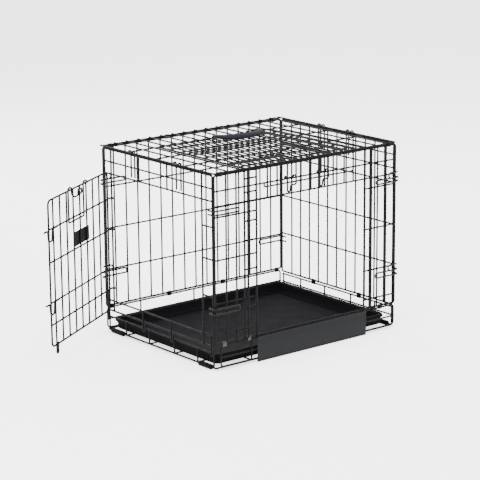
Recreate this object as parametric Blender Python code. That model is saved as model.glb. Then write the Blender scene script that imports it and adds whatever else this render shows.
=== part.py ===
"""Folding wire dog crate with a side-hinged end door and an overhead front door. Metres, +Z up.

The long front faces -Y and the end with the swing door faces -X. The end door stands open and the overhead
door is stowed flat under the roof. Wires are square bars of the same area as the round wires they stand for.
"""
from math import atan2, cos, pi, radians, sin, sqrt

import bmesh
import bpy
from mathutils import Matrix, Vector

# Driving dimensions
LENGTH = 0.600  # between the centre lines of the end panels
WIDTH = 0.465  # between the centre lines of the front and back panels
HEIGHT = 0.495  # centre line of the roof frame above the floor
FRAME_R = 0.0024  # thick perimeter wire
WIRE_R = 0.0015  # thin infill wire
SHIFT_X = 0.1625  # puts the middle of the whole box, open door included, over the origin
LIFT = 0.0045  # puts the undersides of the feet on the floor
DOOR_OPEN = 59.0  # degrees that the end door stands open
GAP = 0.0003  # between pieces that touch

SQUARE = sqrt(pi) / 2  # half side of a square bar with the area of a circle of radius 1
WELD = 0.0018  # depth between the layers of two welded thin wires
HALF_L = LENGTH / 2
HALF_W = WIDTH / 2
END_HALF_W = HALF_W - 0.0065  # end panels fold in between the front and back panels
PANEL_TOP = HEIGHT - 0.0065
SIDE_BOTTOM = 0.0645  # bottom wire of the front and back panels
END_BOTTOM = 0.0575
SIDE_CURB = 0.0590  # top wire of the base's long upturned edges
END_CURB = 0.0500
LEFT_CURB = 0.0375
CURB_LOW = 0.0280
FLOOR_Z = 0.0023  # centre of the lowest wires

DOORWAY = (-0.1695, 0.190)  # the front doorway's jambs
JAMB_BACK, JAMB_FRONT = 0.197, -0.187  # the end doorway's jambs
END_DOOR_OUT = 0.0054  # closed end door's plane, out from its panel
END_DOOR_WIDTH = 0.3654
END_DOOR_ROWS = (0.0645, 0.1195, 0.176, 0.278, 0.361, 0.4335)
STOWED_Z = 0.4865
STOWED_FRONT = -0.222
OVERHEAD_X = (-0.176, 0.196)
OVERHEAD_HEIGHT = 0.380
HANDLE_Y = 0.1205
PAN_Z = (0.0062, 0.0330)

parts = None
cutters = None


def clear():
    for ob in list(bpy.data.objects):
        bpy.data.objects.remove(ob)


def collection(name):
    found = bpy.data.collections.new(name)
    bpy.context.scene.collection.children.link(found)
    return found


def material(name, color, rough, metal=0.0):
    mat = bpy.data.materials.new(name)
    mat.use_nodes = True
    bsdf = mat.node_tree.nodes["Principled BSDF"]
    bsdf.inputs["Base Color"].default_value = (*color, 1.0)
    bsdf.inputs["Roughness"].default_value = rough
    bsdf.inputs["Metallic"].default_value = metal
    return mat


# ---- Places on each side of the crate: along it, up it (or across the roof), and out from it ----


def on_front(a, b, out=0.0):
    return Vector((a, -HALF_W - out, b))


def on_back(a, b, out=0.0):
    return Vector((a, HALF_W + out, b))


def on_left(a, b, out=0.0):
    return Vector((-HALF_L - out, a, b))


def on_right(a, b, out=0.0):
    return Vector((HALF_L + out, a, b))


def on_roof(a, b, out=0.0):
    return Vector((a, b, HEIGHT + out))


def on_floor(a, b, out=0.0):
    return Vector((a, b, FLOOR_Z + out))


def on_stowed(a, b, out=0.0):
    return Vector((a, b, STOWED_Z + out))


# ---- Solids ----


def keep(name, mesh, mat, where=None):
    """An object for a mesh, in the parts' collection unless another is given."""
    ob = bpy.data.objects.new(name, mesh)
    if mat:
        mesh.materials.clear()
        mesh.materials.append(mat)
    (where or parts).objects.link(ob)
    return ob


def bars(name, runs, mat, where=None):
    """Square bars that don't touch each other. A run is (start, end, radius) along one of the three axes."""
    bm = bmesh.new()
    for start, end, r in runs:
        half = Vector((r * SQUARE,) * 3)
        for i in range(3):
            if abs(end[i] - start[i]) > 1e-6:
                half[i] = abs(end[i] - start[i]) / 2
        place = Matrix.Translation((start + end) / 2) @ Matrix.Diagonal((*(half * 2), 1.0))
        bmesh.ops.create_cube(bm, size=1.0, matrix=place)
    mesh = bpy.data.meshes.new(name)
    bm.to_mesh(mesh)
    bm.free()
    return keep(name, mesh, mat, where)


def as_cutter(ob):
    ob.hide_render = True
    ob.display_type = "WIRE"
    return ob


def combine(ob, other, operation="UNION"):
    """Joins another object to ob, or cuts it away, with an exact Boolean."""
    mod = ob.modifiers.new(other.name, "BOOLEAN")
    mod.operation = operation
    mod.solver = "EXACT"
    mod.object = as_cutter(other)
    return ob


def grille(name, side, rows, cols, mat):
    """One welded panel. rows run along the side at (height, from, to, radius), cols cross them."""
    ob = bars(name, [(side(a0, b), side(a1, b), r) for b, a0, a1, r in rows], mat)
    out = {True: 0.0004, False: WELD}
    upright = [(side(a, b0, out[r > WIRE_R]), side(a, b1, out[r > WIRE_R]), r) for a, b0, b1, r in cols]
    return combine(ob, bars(name + "_cols", upright, None, cutters))


def frame_rows(a0, a1, low, high):
    return [(low, a0, a1, FRAME_R), (high, a0, a1, FRAME_R)]


def frame_cols(a0, a1, low, high):
    """The two side wires of a panel's frame, which reach just past its top and bottom wires' centres."""
    more = FRAME_R * 0.8
    return [(a, low - more, high + more, FRAME_R) for a in (a0, a1)]


def thin(values, start, end):
    return [(v, start, end, WIRE_R) for v in values]


def pitch(first, last, count):
    return [first + (last - first) * i / (count - 1) for i in range(count)]


def tube(name, points, r, mat, where=None, resolution=0, closed=False):
    """A bent wire as a mesh, through points, with welded caps."""
    curve = bpy.data.curves.new(name, "CURVE")
    curve.dimensions = "3D"
    curve.bevel_depth = r
    curve.bevel_resolution = resolution
    curve.use_fill_caps = True
    spline = curve.splines.new("POLY")
    spline.points.add(len(points) - 1)
    for p, co in zip(spline.points, points):
        p.co = (*co, 1.0)
    spline.use_cyclic_u = closed
    source = bpy.data.objects.new(name, curve)
    bpy.context.scene.collection.objects.link(source)
    bpy.context.view_layer.update()
    depsgraph = bpy.context.evaluated_depsgraph_get()
    mesh = bpy.data.meshes.new_from_object(source.evaluated_get(depsgraph))
    bpy.data.objects.remove(source)
    bm = bmesh.new()
    bm.from_mesh(mesh)
    bmesh.ops.remove_doubles(bm, verts=bm.verts, dist=1e-6)
    bmesh.ops.recalc_face_normals(bm, faces=bm.faces)
    bm.to_mesh(mesh)
    bm.free()
    return keep(name, mesh, mat, where)


def ring(name, centre, axis, major, minor, mat, where=None, sides=8):
    """A closed eye round an axis, 'X', 'Y' or 'Z'."""
    u, v = {"X": ((0, 1, 0), (0, 0, 1)), "Y": ((1, 0, 0), (0, 0, 1)), "Z": ((1, 0, 0), (0, 1, 0))}[axis]
    turn = [2 * pi * (i + 0.5) / sides for i in range(sides)]
    points = [centre + major * (cos(t) * Vector(u) + sin(t) * Vector(v)) for t in turn]
    return tube(name, points, minor, mat, where, closed=True)


def box(name, low, high, mat, where=None):
    """A box between any two opposite corners."""
    bm = bmesh.new()
    low, high = Vector(map(min, low, high)), Vector(map(max, low, high))
    place = Matrix.Translation((low + high) / 2) @ Matrix.Diagonal((*(high - low), 1.0))
    bmesh.ops.create_cube(bm, size=1.0, matrix=place)
    mesh = bpy.data.meshes.new(name)
    bm.to_mesh(mesh)
    bm.free()
    return keep(name, mesh, mat, where)


# ---- The base: wire floor, upturned edges and feet ----


def base(mat, plastic):
    x_end, y_side = HALF_L - 0.003, HALF_W - 0.0035
    runners = (0.148, 0.047, -0.060, -0.156)
    crossers = (-0.1875, -0.008, 0.172)
    grille("floor_grid", on_floor,
           frame_rows(-x_end, x_end, -y_side, y_side) + thin(runners, -x_end, x_end),
           frame_cols(-x_end, x_end, -y_side, y_side) + thin(crossers, -y_side, y_side), mat)
    above_floor = FLOOR_Z + FRAME_R + GAP
    for name, side, first in (("curb_front", on_front, -0.2835), ("curb_back", on_back, -0.2975)):
        grille(name, side, thin((CURB_LOW, SIDE_CURB), first, HALF_L),
               thin((first, *crossers, 0.2975), above_floor, SIDE_CURB), mat)
    for name, side, top in (("curb_left", on_left, LEFT_CURB), ("curb_right", on_right, END_CURB)):
        inward = 0.0045 if side is on_left else 0.0

        def inner(a, b, out=0.0, side=side, inward=inward):
            return side(a, b, out - inward)

        rows = (CURB_LOW, top) if side is on_right else (top,)
        grille(name, inner, thin(rows, -0.224, 0.224), thin((-0.222, *runners, 0.222), above_floor, top), mat)
    for side, x in (("left", -x_end), ("right", x_end)):
        for end, y0, y1 in (("front", -0.212, -0.163), ("back", 0.160, 0.212)):
            foot("foot_%s_%s" % (side, end), x, y0, y1, plastic)


def foot(name, x, y0, y1, mat):
    """An eight-sided plastic tube round the end wire of the floor, flat side down."""
    def drum(called, radius, low, high, where):
        bm = bmesh.new()
        across = radius / cos(pi / 8)
        turn = Matrix.Rotation(pi / 2, 4, "X") @ Matrix.Rotation(pi / 8, 4, "Z")
        place = Matrix.Translation((x, (low + high) / 2, FLOOR_Z)) @ turn
        bmesh.ops.create_cone(bm, cap_ends=True, segments=8, radius1=across, radius2=across,
                              depth=high - low, matrix=place)
        mesh = bpy.data.meshes.new(called)
        bm.to_mesh(mesh)
        bm.free()
        return keep(called, mesh, mat, where)

    combine(drum(name, FLOOR_Z + LIFT, y0, y1, parts), drum(name + "_bore", 0.0036, y0 - 0.01, y1 + 0.01, cutters),
            "DIFFERENCE")


# ---- Panels ----


def back_panel(mat):
    grille("back_panel", on_back,
           frame_rows(-HALF_L, HALF_L, SIDE_BOTTOM, PANEL_TOP) + thin((0.163, 0.2735, 0.3855), -HALF_L, HALF_L),
           frame_cols(-HALF_L, HALF_L, SIDE_BOTTOM, PANEL_TOP)
           + thin(pitch(-0.2655, 0.2655, 15), SIDE_BOTTOM, PANEL_TOP), mat)


def front_panel(mat):
    """Two barred side strips, the doorway between them, and the header over it."""
    left, right = DOORWAY
    track_left, track_right = -0.203, 0.214
    header = 0.413
    rows = frame_rows(-HALF_L, HALF_L, SIDE_BOTTOM, PANEL_TOP) + thin((header, 0.451), -HALF_L, HALF_L)
    for z in (0.089, 0.167, 0.278, 0.386):
        rows += [(z, -HALF_L, left, WIRE_R), (z, right, HALF_L, WIRE_R)]
    rungs = [0.118 + 0.0245 * i for i in (1, 3, 5, 8, 10)] + [0.436, 0.470]
    rows += thin(rungs, track_left, left)
    cols = frame_cols(-HALF_L, HALF_L, SIDE_BOTTOM, PANEL_TOP)
    cols += [(a, SIDE_BOTTOM, PANEL_TOP, FRAME_R) for a in (track_left, left, right, track_right)]
    cols += thin((-0.265, -0.233, 0.236, 0.266), SIDE_BOTTOM, PANEL_TOP)
    cols += thin((-0.1335, -0.102, -0.0546, -0.024, 0.0537, 0.083, 0.120, 0.151), header, PANEL_TOP)
    cols += thin((-0.0688, -0.0404, 0.0425, 0.0665), 0.450, PANEL_TOP)
    cols += [(a, header, PANEL_TOP, 0.0021) for a in (0.008, 0.038)]
    grille("front_panel", on_front, rows, cols, mat)


def left_end_panel(mat):
    """The end with the swing door: header, two jambs, and hooks that hold the base's edge."""
    rows = frame_rows(-END_HALF_W, END_HALF_W, END_BOTTOM, PANEL_TOP)
    rows += thin((0.085, 0.426, 0.4575), -END_HALF_W, END_HALF_W)
    rows += thin((0.184, 0.279, 0.361), -END_HALF_W, JAMB_FRONT)
    cols = frame_cols(-END_HALF_W, END_HALF_W, END_BOTTOM, PANEL_TOP)
    cols += [(a, END_BOTTOM, PANEL_TOP, 0.0021) for a in (JAMB_FRONT, JAMB_BACK)]
    cols += thin((-0.0455, 0.073), 0.426, PANEL_TOP)
    cols += thin((-0.2165, -0.052, 0.0675), 0.034, 0.086)
    grille("left_end_panel", on_left, rows, cols, mat)


def right_end_panel(mat):
    grille("right_end_panel", on_right,
           frame_rows(-END_HALF_W, END_HALF_W, END_BOTTOM, PANEL_TOP)
           + thin((0.168, 0.2755, 0.388, 0.426, 0.462), -END_HALF_W, END_HALF_W),
           frame_cols(-END_HALF_W, END_HALF_W, END_BOTTOM, PANEL_TOP)
           + thin(pitch(-0.190, 0.186, 11), END_BOTTOM, PANEL_TOP), mat)


def roof_panel(mat):
    grille("roof_panel", on_roof,
           frame_rows(-HALF_L, HALF_L, -HALF_W, HALF_W) + thin((-0.110, 0.005, HANDLE_Y), -HALF_L, HALF_L),
           frame_cols(-HALF_L, HALF_L, -HALF_W, HALF_W)
           + thin(pitch(-0.2590, 0.2660, 15), -HALF_W, HALF_W + 0.0035), mat)


# ---- The overhead front door, stowed under the roof ----


def overhead_door(mat):
    x0, x1 = OVERHEAD_X
    y0, y1 = STOWED_FRONT, STOWED_FRONT + OVERHEAD_HEIGHT
    grille("overhead_door", on_stowed,
           frame_rows(x0, x1, y0, y1) + thin(pitch(y0, y1, 9)[1:-1], x0, x1),
           frame_cols(x0, x1, y0 + 0.0024, y1 - 0.0024) + thin(pitch(x0, x1, 11)[1:-1], y0, y1), mat)


def door_catches(mat):
    """Two loops that hang on the header's upper wire, each with a tongue at one side of its foot."""
    top, foot_z, tongue, out = 0.451, 0.4350, 0.4195, 0.0060
    for name, x0, x1 in (("door_catch_left", -0.0722, -0.0438), ("door_catch_right", 0.0342, 0.0632)):
        path = [on_front(x0, tongue + 0.005, out), on_front(x0 + 0.003, tongue, out),
                on_front(x0 + 0.006, tongue, out), on_front(x0 + 0.0095, tongue + 0.005, out),
                on_front(x0 + 0.0105, foot_z, out), on_front(x1, foot_z, out), on_front(x1, top, out),
                on_front(x1, top + 0.0062, 0.0030), on_front(x1, top + 0.0062, -0.0030),
                on_front(x1, top, -0.0062), on_front(x0, top, -0.0062),
                on_front(x0, top + 0.0062, -0.0030), on_front(x0, top + 0.0062, 0.0030),
                on_front(x0, top, out)]
        tube(name, path, 0.0013, mat, closed=True)


def lock_bar(mat):
    """A thin rod behind the header, turned up at both ends."""
    z, out = 0.4395, -0.0040
    path = [on_front(-0.1385, z + 0.010, out), on_front(-0.1385, z, out), on_front(0.156, z, out),
            on_front(0.156, z + 0.010, out)]
    tube("lock_bar", path, 0.0013, mat)


# ---- The end door and its hardware, modelled closed and turned open about its jamb ----

HINGE = Vector((-HALF_L, JAMB_BACK, 0.0))


def on_door(s, z, out=0.0):
    """A place on the closed end door, s from the hinge jamb towards the front."""
    return Vector((-HALF_L - END_DOOR_OUT - out, JAMB_BACK - s, z))


def swing_open(ob):
    """Turns a mesh, and what is joined to it, about the hinge to where the door stands."""
    turn = Matrix.Translation(HINGE) @ Matrix.Rotation(radians(-DOOR_OPEN), 4, "Z") @ Matrix.Translation(-HINGE)
    ob.data.transform(turn)
    for mod in ob.modifiers:
        mod.object.data.transform(turn)


def end_door(mat):
    low, high = END_DOOR_ROWS[0], END_DOOR_ROWS[-1]
    hinged = (0.1195, 0.278, 0.361)
    near = 0.009

    def inward(s, z, out=0.0):
        return on_door(s, z, -out)

    rows = [(z, 0.0 if z in hinged else near, END_DOOR_WIDTH, WIRE_R) for z in END_DOOR_ROWS[1:-1]]
    rows += [(z, near, END_DOOR_WIDTH, FRAME_R) for z in (low, high)]
    cols = frame_cols(near, END_DOOR_WIDTH, low, high)
    cols += thin([0.030] + pitch(0.069, 0.343, 8)[:-1], low, high) + [(0.343, 0.042, high, WIRE_R)]
    cols += thin([0.0175], 0.042, hinged[0])
    door = grille("end_door", inward, rows, cols, mat)
    for i, z in enumerate(hinged):
        eye = ring("end_door_eye_%d" % i, HINGE + Vector((0, 0, z)), "Z", 0.0048, 0.0014, None, cutters)
        combine(door, eye)
    swing_open(door)


def end_door_bolts(mat):
    """Two sliding bolts at the free edge, each bent down into a finger loop."""
    for name, z, drop in (("end_door_bolt_upper", 0.3565, 0.029), ("end_door_bolt_lower", 0.1715, 0.029)):
        bends = ((0.3810, z), (0.3600, z), (0.3555, z - drop), (0.3365, z - drop), (0.3330, z), (0.3060, z))
        path = [on_door(a, b, 0.0054) for a, b in bends]
        swing_open(tube(name, path, 0.0017, mat))


def end_door_bail(mat):
    """A loop that hangs on the door's top wire by two hooks."""
    top, low, out = END_DOOR_ROWS[-1], 0.348, 0.0068

    def leg(s):
        hook = [(top - 0.001, -0.0050), (top + 0.0058, -0.0026), (top + 0.0058, 0.0028), (top, out)]
        return [on_door(s, z, depth) for z, depth in hook] + [on_door(s, low, out)]

    swing_open(tube("end_door_bail", leg(0.1445) + leg(0.2345)[::-1], 0.0014, mat))


def end_door_plate(mat):
    plate = box("end_door_plate", on_door(0.1307, 0.2841, 0.0008), on_door(0.2248, 0.3215, -0.0002), mat)
    swing_open(plate)


def end_door_spring(mat):
    """A small wire spring, bent to a W, between two uprights."""
    out = 0.0009
    path = [on_door(0.224, 0.4235, out), on_door(0.214, 0.410, out), on_door(0.201, 0.4195, out),
            on_door(0.189, 0.4095, out), on_door(0.182, 0.4235, out)]
    swing_open(tube("end_door_spring", path, 0.0012, mat))


# ---- Handle, pan and paw guard ----


def carry_handle(mat):
    """A plastic D that lies forward on the roof, with an eye at each end round a lengthwise wire."""
    x0, x1, lie = -0.024, 0.092, HEIGHT + 0.0110
    middle, reach, half = (x0 + x1) / 2, 0.072, 0.072
    arc = [pi * i / 10 for i in range(11)]
    bow = [Vector((middle - half * cos(t), HANDLE_Y - 0.018 - (reach - 0.018) * sin(t) ** 0.8, lie)) for t in arc]
    grip = tube("carry_handle", bow, 0.0072, mat, resolution=1)
    for name, x, end in (("l", x0, bow[0]), ("r", x1, bow[-1])):
        path = [end + Vector((0, -0.004, 0.0005)), Vector((x, HANDLE_Y - 0.009, lie - 0.001)),
                Vector((x, HANDLE_Y - 0.0015, HEIGHT + 0.0053))]
        combine(grip, tube("handle_arm_" + name, path, 0.0026, None, cutters))
        combine(grip, ring("handle_eye_" + name, Vector((x, HANDLE_Y, HEIGHT)), "X", 0.0043, 0.0013, None, cutters))


def floor_pan(mat):
    low, high = PAN_Z
    wall, rim, lip, deep = 0.0025, 0.0060, 0.0075, 0.0045
    x0, x1, y = -0.2860, 0.2780, 0.2160
    pan = box("floor_pan", (x0, -y, low), (x1, y, high - GAP * 2), mat)
    combine(pan, box("pan_rim", (x0 - rim, -y - rim, high - deep), (x1 + rim, y + rim, high), None, cutters))
    combine(pan, box("pan_hollow", (x0 + wall, wall - y, low + wall), (x1 - wall, y - wall, high - deep), None,
                     cutters), "DIFFERENCE")
    combine(pan, box("pan_mouth", (x0 + lip, lip - y, high - deep - 0.001), (x1 - lip, y - lip, high + 0.01), None,
                     cutters), "DIFFERENCE")


def paw_guard(mat):
    """A sheet across the foot of the doorway, its top edge rolled."""
    x0, x1, low, high = -0.172, 0.195, -0.0035, 0.0600
    sheet = box("paw_guard", on_front(x0, low, 0.0052), on_front(x1, high, 0.0064), mat)
    roll = tube("paw_guard_roll", [on_front(x0 + 0.001, high, 0.0060), on_front(x1 - 0.001, high, 0.0060)],
                0.0019, None, cutters, resolution=1)
    combine(sheet, roll)


# ---- Clips, hooks and latches ----


def clip(name, side, a, low, high, mat, length=0.010):
    """A crimped sleeve round two wires that lie one above the other."""
    spare, wall, reach = 0.0004, 0.0009, FRAME_R * SQUARE

    def block(called, more, a0, a1, where):
        return box(called, side(a0, low - reach - more, -reach - more), side(a1, high + reach + more, reach + more),
                   mat if where is parts else None, where)

    half = length / 2
    shell = block(name, spare + wall, a - half, a + half, parts)
    combine(shell, block(name + "_bore", spare, a - half - 0.01, a + half + 0.01, cutters), "DIFFERENCE")


def clips(mat, grey):
    for i, x in enumerate((-0.2765, -0.093, 0.091, 0.2765)):
        clip("roof_clip_back_%d" % (i + 1), on_back, x, PANEL_TOP, HEIGHT, mat)
    for i, x in enumerate((-0.2810, 0.2765)):
        clip("roof_clip_front_%d" % (i + 1), on_front, x, PANEL_TOP, HEIGHT, mat)
    for i, x in enumerate((-0.2850, -0.093, 0.091, 0.2850)):
        clip("base_clip_back_%d" % (i + 1), on_back, x, SIDE_CURB, SIDE_BOTTOM, mat)
    for i, (x, length) in enumerate(((-0.2738, 0.013), (-0.1950, 0.010), (0.2250, 0.010), (0.2500, 0.010))):
        clip("base_clip_front_%d" % (i + 1), on_front, x, SIDE_CURB, SIDE_BOTTOM, grey if x < 0 else mat, length)
    for i, y in enumerate((-0.0955, 0.0920)):
        clip("base_clip_right_%d" % (i + 1), on_right, y, END_CURB, END_BOTTOM, mat)


def top_hooks(mat):
    """Spring hooks that hold the end panels' heads to the roof frame: two legs and a bend over the wire."""
    def hook(name, side, a0, a1, leg, tip):
        over = HEIGHT + 0.0056
        path = [side(a0, 0.4300, leg), side(a0, over - 0.002, leg), side(a0, over, 0.0), side(a0, over - 0.002, tip),
                side(a1, over - 0.002, tip), side(a1, over, 0.0), side(a1, over - 0.002, leg),
                side(a1, 0.4300, leg)]
        tube(name, path, 0.0013, mat)

    hook("left_hook_front", on_left, -0.095, -0.076, -0.0050, 0.0046)
    hook("left_hook_back", on_left, 0.099, 0.1145, -0.0050, 0.0046)
    hook("right_hook_front", on_right, -0.062, -0.044, 0.0062, -0.0046)
    hook("right_hook_back", on_right, 0.054, 0.070, 0.0062, -0.0046)


def side_latches(mat):
    """Long sliding loops that wrap each corner, two to a corner."""
    out, corner, inner, wrap = 0.0066, HALF_L + 0.0058, 0.228, 0.016
    for side_name, side, face in (("front", on_front, -1), ("back", on_back, 1)):
        for end_name, end in (("left", -1), ("right", 1)):
            for level, high, low in (("upper", 0.4035, 0.3935), ("lower", 0.1560, 0.1430)):
                def at(x, z, depth=out, side=side, end=end):
                    return side(end * x, z, depth)

                path = [at(corner, high, -wrap), at(corner, high), at(inner, high), at(inner, low),
                        at(corner, low), at(corner, low, -wrap)]
                tube("latch_%s_%s_%s" % (side_name, end_name, level), path, 0.0015, mat)


def shift():
    """Puts every mesh, cutters included, in the crate's own frame."""
    for ob in list(parts.objects) + list(cutters.objects):
        ob.data.transform(Matrix.Translation((SHIFT_X, 0, LIFT)))


def main():
    global parts, cutters
    clear()
    parts, cutters = collection("wire_dog_crate"), collection("cutters")
    black = material("black_wire", (0.020, 0.020, 0.022), 0.38, 0.3)
    plastic = material("black_plastic", (0.018, 0.018, 0.020), 0.55)
    grip = material("grey_plastic", (0.075, 0.075, 0.085), 0.50)
    sheet = material("painted_sheet", (0.045, 0.046, 0.050), 0.45)
    zinc = material("zinc_clip", (0.55, 0.55, 0.56), 0.35, 0.9)
    base(black, plastic)
    back_panel(black)
    front_panel(black)
    left_end_panel(black)
    right_end_panel(black)
    roof_panel(black)
    overhead_door(black)
    door_catches(black)
    lock_bar(black)
    end_door(black)
    end_door_bolts(black)
    end_door_bail(black)
    end_door_plate(plastic)
    end_door_spring(black)
    carry_handle(grip)
    floor_pan(plastic)
    paw_guard(sheet)
    clips(black, zinc)
    top_hooks(black)
    side_latches(black)
    shift()


main()
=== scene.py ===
"""Looks for a folding wire dog crate: round welded wire, moulded plastic, thin sheet and bent hooks.

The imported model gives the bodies, their joints and the box that everything stays in. Each solid of it is
replaced here by the piece that is seen. Metres, +Z up, the long front facing -Y.
"""

from __future__ import annotations

import logging
from dataclasses import dataclass, field
from enum import Enum
from math import atan2, ceil, cos, pi, radians, sin, sqrt
from typing import Callable, Sequence

import bmesh
import bpy
from mathutils import Matrix, Vector

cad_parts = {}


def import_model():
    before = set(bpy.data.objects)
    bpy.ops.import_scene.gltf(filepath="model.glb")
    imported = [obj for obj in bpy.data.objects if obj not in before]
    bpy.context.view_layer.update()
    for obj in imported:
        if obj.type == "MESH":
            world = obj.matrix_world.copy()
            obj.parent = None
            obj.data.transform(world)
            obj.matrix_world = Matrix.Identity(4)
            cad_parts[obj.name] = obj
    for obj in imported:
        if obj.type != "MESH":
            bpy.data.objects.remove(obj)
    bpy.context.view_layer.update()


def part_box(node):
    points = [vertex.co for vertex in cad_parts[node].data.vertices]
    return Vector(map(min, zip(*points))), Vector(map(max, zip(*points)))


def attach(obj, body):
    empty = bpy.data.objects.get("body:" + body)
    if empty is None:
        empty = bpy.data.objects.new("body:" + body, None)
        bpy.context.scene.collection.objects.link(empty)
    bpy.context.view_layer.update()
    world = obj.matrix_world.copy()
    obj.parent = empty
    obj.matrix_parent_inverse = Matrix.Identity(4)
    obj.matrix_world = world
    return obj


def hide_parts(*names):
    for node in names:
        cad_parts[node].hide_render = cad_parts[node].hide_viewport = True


LOG = logging.getLogger("dog_crate")

Side = Callable[[float, float, float], Vector]

THICK = 0.0024  # radius of the perimeter wire
JAMB = 0.0021  # radius of the end doorway's jambs and of the header's two middle wires
THIN = 0.0015  # radius of the infill wire
DRAWN_LEAST = 0.0018  # a drawn radius is this, plus DRAWN_SHARE of the wire's own
DRAWN_SHARE = 0.30
BEAD = 1.12  # a weld bead's size, over the radius of the thinner wire
SEAT = 0.62  # how far out a column lies on a row, over the sum of their radii
UNDER_ROOF = 0.0050  # from the roof frame down to the panels' top wires


def drawn(radius: float) -> float:
    """Radius that a wire or a bead is drawn with: more than it really has, so thin ones stay dark."""
    return DRAWN_LEAST + DRAWN_SHARE * radius


# ---- The crate's faces ----


@dataclass(frozen=True)
class Shell:
    """Centre lines of the crate's box, and places on each of its faces.

    Attributes:
        middle: x of the crate's own middle, since the open door puts it off the origin.
        half_l: half the distance between the end panels.
        half_w: half the distance between the front and back panels.
        lift: what the feet add to every height.
        floor: height of the lowest wires' centre line, before the lift.
        roof: height of the roof frame's centre line, before the lift.
    """

    middle: float
    half_l: float
    half_w: float
    lift: float
    floor: float
    roof: float = 0.4950

    @classmethod
    def from_frame(cls) -> Shell:
        """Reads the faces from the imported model's roof and floor, whose bars are square.

        Returns:
            The shell, in the frame's own places.
        """
        low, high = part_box("roof_panel")
        floor_low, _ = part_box("floor_grid")
        half_bar = THICK * sqrt(pi) / 2
        lift = low[2] + half_bar - cls.roof
        return cls(
            middle=(low[0] + high[0]) / 2,
            half_l=(high[0] - low[0]) / 2 - half_bar,
            half_w=-low[1] - half_bar,
            lift=lift,
            floor=floor_low[2] + half_bar - lift,
        )

    def front(self, a: float, b: float, out: float = 0.0) -> Vector:
        """A place on the front: a along it, b up, out towards the viewer."""
        return Vector((self.middle + a, -self.half_w - out, b + self.lift))

    def back(self, a: float, b: float, out: float = 0.0) -> Vector:
        """A place on the back panel."""
        return Vector((self.middle + a, self.half_w + out, b + self.lift))

    def left(self, a: float, b: float, out: float = 0.0) -> Vector:
        """A place on the end with the swing door."""
        return Vector((self.middle - self.half_l - out, a, b + self.lift))

    def right(self, a: float, b: float, out: float = 0.0) -> Vector:
        """A place on the plain end."""
        return Vector((self.middle + self.half_l + out, a, b + self.lift))

    def top(self, a: float, b: float, out: float = 0.0) -> Vector:
        """A place on the roof, b towards the back, out upwards."""
        return Vector((self.middle + a, b, self.roof + out + self.lift))

    def bottom(self, a: float, b: float, out: float = 0.0) -> Vector:
        """A place on the wire floor."""
        return Vector((self.middle + a, b, self.floor + out + self.lift))


# ---- Shader node groups ----


def shader_group(name: str, inputs: dict[str, float], outputs: dict[str, str]) -> bpy.types.ShaderNodeTree:
    """An empty shader node group with named sockets.

    Args:
        name: the group's name.
        inputs: default value of each number input.
        outputs: socket type of each output.

    Returns:
        The new node tree.
    """
    tree = bpy.data.node_groups.new(name, "ShaderNodeTree")
    for label, value in inputs.items():
        socket = tree.interface.new_socket(name=label, in_out="INPUT", socket_type="NodeSocketFloat")
        socket.default_value = value
    for label, kind in outputs.items():
        tree.interface.new_socket(name=label, in_out="OUTPUT", socket_type=kind)
    return tree


def noise(tree: bpy.types.NodeTree, scale: object, detail: float, rough: float = 0.5) -> bpy.types.Node:
    """A noise texture on object coordinates.

    Args:
        tree: the tree that it goes in.
        scale: its scale, a number or a socket.
        detail: its detail.
        rough: its roughness.

    Returns:
        The noise node.
    """
    coords = tree.nodes.new("ShaderNodeTexCoord")
    node = tree.nodes.new("ShaderNodeTexNoise")
    node.inputs["Detail"].default_value = detail
    node.inputs["Roughness"].default_value = rough
    tree.links.new(coords.outputs["Object"], node.inputs["Vector"])
    if isinstance(scale, (int, float)):
        node.inputs["Scale"].default_value = scale
    else:
        tree.links.new(scale, node.inputs["Scale"])
    return node


def coat_texture() -> bpy.types.ShaderNodeTree:
    """Baked coat on wire: slow mottle in its colour and a fine orange-peel height.

    Returns:
        The group, which puts out Mottle and Height.
    """
    tree = shader_group("coat_texture", {"Mottle Scale": 60.0, "Peel Scale": 900.0},
                        {"Mottle": "NodeSocketFloat", "Height": "NodeSocketFloat"})
    given, out = tree.nodes.new("NodeGroupInput"), tree.nodes.new("NodeGroupOutput")
    mottle = noise(tree, given.outputs["Mottle Scale"], 3.0)
    peel = noise(tree, given.outputs["Peel Scale"], 2.0)
    tree.links.new(mottle.outputs["Fac"], out.inputs["Mottle"])
    tree.links.new(peel.outputs["Fac"], out.inputs["Height"])
    return tree


def rub_marks() -> bpy.types.ShaderNodeTree:
    """Sparse rubbed spots, as where panels slide on each other: a mask from 0 to 1.

    Returns:
        The group, which puts out Mask.
    """
    tree = shader_group("rub_marks", {"Scale": 35.0, "Cover": 0.60}, {"Mask": "NodeSocketFloat"})
    given, out = tree.nodes.new("NodeGroupInput"), tree.nodes.new("NodeGroupOutput")
    spots = noise(tree, given.outputs["Scale"], 6.0, 0.65)
    ramp = tree.nodes.new("ShaderNodeMapRange")
    ramp.interpolation_type = "SMOOTHSTEP"
    reach = tree.nodes.new("ShaderNodeMath")
    reach.operation = "ADD"
    reach.inputs[1].default_value = 0.12
    tree.links.new(given.outputs["Cover"], reach.inputs[0])
    tree.links.new(spots.outputs["Fac"], ramp.inputs["Value"])
    tree.links.new(given.outputs["Cover"], ramp.inputs["From Min"])
    tree.links.new(reach.outputs[0], ramp.inputs["From Max"])
    tree.links.new(ramp.outputs["Result"], out.inputs["Mask"])
    return tree


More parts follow.
